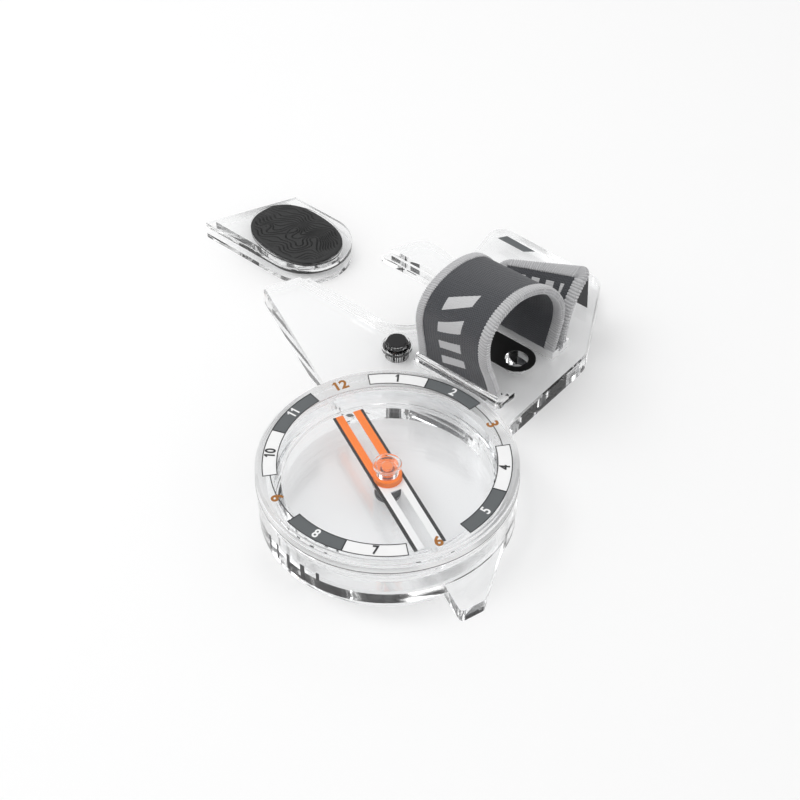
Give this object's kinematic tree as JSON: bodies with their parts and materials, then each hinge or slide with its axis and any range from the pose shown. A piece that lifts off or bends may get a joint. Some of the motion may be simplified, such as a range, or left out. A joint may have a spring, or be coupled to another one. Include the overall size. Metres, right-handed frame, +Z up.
{
  "type": "baseplate compass",
  "caption": "Clear thumb baseplate compass with a round turning capsule, a two-stripe needle, a slide-in thumb rest and an elastic thumb strap.",
  "frame": {"origin": "on the needle's axis, at the underside that lies on the map", "axes": "+Y is the pointing direction along the ruler edge, +X is towards the thumb side, +Z is up through the dial"},
  "size_m": [0.0864, 0.1154, 0.0257],
  "materials": {
    "clear_plate": "clear moulded acrylic, polished",
    "clear_capsule": "clear moulded acrylic, polished",
    "glide_grey": "thin low-friction plastic",
    "black_rubber": "soft matte rubber",
    "pad_rubber": "soft rubber with shallow contour grooves",
    "mark_black": "opaque printed ink",
    "dial_white": "opaque printed ink",
    "dial_grey": "opaque printed ink",
    "needle_paint": "orange north half, white south half",
    "hub_orange": "moulded orange plastic",
    "magnet_steel": "nickel-plated magnet",
    "pin_steel": "hardened steel, ground point",
    "jewel": "polished synthetic stone",
    "post_plastic": "dark moulded plastic",
    "plug_plastic": "translucent plastic",
    "strap_weave": "dense ribbed elastic webbing",
    "strap_edge": "light grey overlock thread"
  },
  "bodies": {
    "baseplate": {"baseplate": "clear_plate", "friction_foot": "black_rubber", "glide_ring": "glide_grey", "lanyard_mark": "mark_black", "thumb_strap": "strap_weave", "strap_edging_near": "strap_edge", "strap_edging_far": "strap_edge"},
    "capsule": {"capsule_cup": "clear_capsule", "capsule_lid": "clear_capsule", "filler_plug": "plug_plastic", "pivot_post": "post_plastic", "pivot_pin": "pin_steel", "dial_light_blocks": "dial_white", "dial_dark_blocks": "dial_grey"},
    "needle": {"needle_plate": "needle_paint", "needle_magnet": "magnet_steel", "needle_hub": "hub_orange", "jewel_cap": "clear_capsule", "jewel_bearing": "jewel"},
    "thumb_rest": {"thumb_rest_plate": "clear_plate", "thumb_rest_pad": "pad_rubber"}
  },
  "joints": [
    {"name": "capsule_turn", "type": "hinge", "parent": "baseplate", "child": "capsule", "pos_m": [0, 0, 0.005], "axis": [0, 0, 1], "continuous": true},
    {"name": "needle_spin", "type": "hinge", "parent": "capsule", "child": "needle", "pos_m": [0, 0, 0.008], "axis": [0, 0, 1], "continuous": true},
    {"name": "thumb_rest_slide", "type": "slide", "parent": "baseplate", "child": "thumb_rest", "axis": [0.4179, -0.9085, 0], "range_m": [0, 0.027]}
  ]
}
